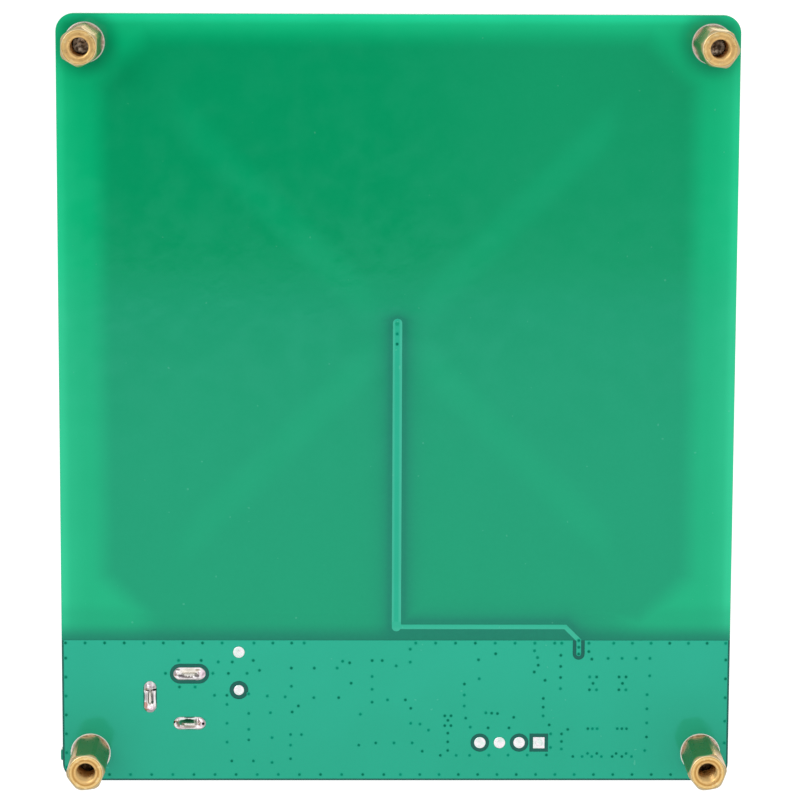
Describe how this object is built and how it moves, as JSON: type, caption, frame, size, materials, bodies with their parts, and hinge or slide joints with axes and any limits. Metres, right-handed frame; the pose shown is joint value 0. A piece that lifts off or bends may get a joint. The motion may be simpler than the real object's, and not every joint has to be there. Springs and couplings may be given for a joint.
{
  "type": "pulse generator module",
  "caption": "Square green circuit board on brass hex standoffs, with a printed spiral antenna and a strip of electronics fed by a DC jack.",
  "frame": {"origin": "middle of the board's outline, on the plane of the standoffs' free ends", "axes": "+X across the board, +Y from the electronics strip to the antenna end, +Z out of the component side"},
  "size_m": [0.0862, 0.0988, 0.0227],
  "materials": {
    "green_board": "glass-epoxy laminate under green solder mask, slightly translucent",
    "masked_copper": "copper under the same green solder mask, satin",
    "tinned_copper": "bare pads levelled with solder, bright",
    "solder": "reflowed solder, bright and slightly wrinkled",
    "black_plastic": "moulded, fine grain",
    "plated_contacts": "nickel-plated brass",
    "brass": "turned and milled, faint tool marks",
    "plated_steel": "nickel-plated steel",
    "moulding_compound": "black epoxy, matt",
    "tinned_leads": "tin plate, satin",
    "dark_ceramic": "glazed",
    "white_ceramic": "matt",
    "tan_ceramic": "fired, semi-matt",
    "can_aluminium": "drawn, bright",
    "clear_resin": "clear resin"
  },
  "bodies": {
    "root": {"board_laminate": "green_board", "rear_ground_plane": "masked_copper", "front_ground_plane": "masked_copper", "front_tracks": "masked_copper", "antenna_spiral": "masked_copper", "return_track": "masked_copper", "mounting_pads": "tinned_copper", "power_pads": "tinned_copper", "test_pads": "tinned_copper", "component_pads": "tinned_copper", "jack_solder": "solder", "jack_housing": "black_plastic", "jack_centre_pin": "plated_contacts", "jack_rear_terminal": "plated_contacts", "jack_sleeve_contact": "plated_contacts", "jack_switch_contact": "plated_contacts", "standoff_far_right": "brass", "standoff_far_left": "brass", "standoff_near_right": "brass", "standoff_near_left": "brass", "standoff_screws": "plated_steel", "microcontroller_body": "moulding_compound", "microcontroller_leads": "tinned_leads", "driver_body_right": "moulding_compound", "driver_leads_right": "tinned_leads", "driver_body_left": "moulding_compound", "driver_leads_left": "tinned_leads", "regulator_body": "moulding_compound", "regulator_leads": "tinned_leads", "diode_body": "moulding_compound", "diode_leads": "tinned_leads", "amplifier_package": "moulding_compound", "crystal_base": "dark_ceramic", "crystal_lid": "plated_steel", "capacitor_base": "black_plastic", "capacitor_can": "can_aluminium", "capacitor_leads": "tinned_leads", "led_base": "white_ceramic", "led_lens": "clear_resin", "resistor_bodies": "dark_ceramic", "resistor_ends": "tinned_leads", "ceramic_capacitor_bodies": "tan_ceramic", "ceramic_capacitor_ends": "tinned_leads"}
  },
  "joints": []
}
